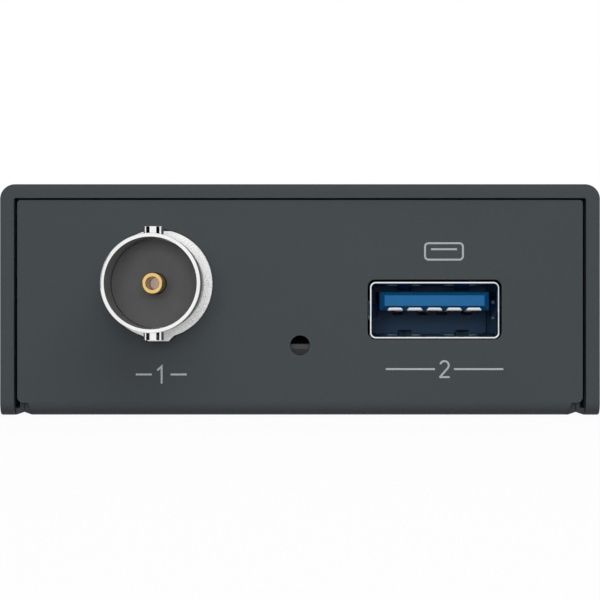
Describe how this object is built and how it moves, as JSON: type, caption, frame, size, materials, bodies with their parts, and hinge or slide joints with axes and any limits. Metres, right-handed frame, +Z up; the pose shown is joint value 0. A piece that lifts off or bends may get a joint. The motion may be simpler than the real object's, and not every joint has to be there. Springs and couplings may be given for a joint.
{
  "type": "video decoder",
  "caption": "Pocket video-over-network decoder: dark metal case with a coaxial video output, a USB socket and a reset pin hole in front, and network and power sockets behind.",
  "frame": {"origin": "mouth of the tripod thread, at the centre of the case's underside", "axes": "+Z up; the front panel with the coaxial output faces -Y; +X is to the right seen from the front"},
  "size_m": [0.0602, 0.1131, 0.0232],
  "materials": {
    "cover_finish": "fine matt dark blue-grey anodised",
    "tray_finish": "fine matt dark blue-grey powder coat",
    "bright_nickel": "polished nickel plating",
    "steel_shell": "tinned steel sheet",
    "black_steel": "black oxide",
    "gold": "gold plating",
    "dark_plastic": "moulded, matt",
    "grey_lining": "moulded, satin",
    "blue_plastic": "moulded, satin",
    "button_plastic": "moulded, matt",
    "clear_plastic": "clear light guide",
    "board_green": "solder mask",
    "chip_black": "moulded epoxy",
    "soft_pad": "thermal pad",
    "film": "insulating film",
    "sink_aluminium": "milled",
    "nut_steel": "zinc plated"
  },
  "bodies": {
    "housing": {"top_cover": "cover_finish", "base_tray": "tray_finish", "tripod_nut": "nut_steel", "cover_screws": "black_steel", "board_standoffs": "nut_steel", "board_screws": "nut_steel", "insulating_film": "film", "main_board": "board_green", "bnc_shell": "bright_nickel", "bnc_block": "dark_plastic", "bnc_insulator": "grey_lining", "bnc_contact": "gold", "usb_a_shell": "steel_shell", "usb_a_housing": "blue_plastic", "usb_a_contacts": "gold", "usb_a_riser": "dark_plastic", "reset_switch_body": "dark_plastic", "reset_dome": "steel_shell", "rj45_shell": "steel_shell", "rj45_insert": "dark_plastic", "rj45_contacts": "gold", "rj45_lenses": "clear_plastic", "usb_c_shell": "steel_shell", "usb_c_insert": "dark_plastic", "usb_c_contacts": "gold", "light_pipes": "clear_plastic", "status_leds": "clear_plastic", "processor": "chip_black", "memory_chips": "chip_black", "flash_chip": "chip_black", "network_chip": "chip_black", "video_driver_chip": "chip_black", "shield_can": "steel_shell", "power_chips": "chip_black", "power_inductors": "chip_black", "bulk_capacitors": "sink_aluminium", "isolation_transformer": "chip_black", "crystals": "steel_shell", "chip_passives": "chip_black", "heat_spreader": "sink_aluminium", "heat_spreader_pins": "dark_plastic", "thermal_pad_chip": "soft_pad", "thermal_pad_lower": "soft_pad", "thermal_pad_top": "soft_pad"},
    "reset_button": {"reset_plunger": "button_plastic"}
  },
  "joints": [
    {"name": "reset_press", "type": "slide", "parent": "housing", "child": "reset_button", "axis": [0, 1, 0], "range_m": [0, 0.00025], "stiffness_N_per_m": 4000, "springref_m": -0.0001}
  ]
}
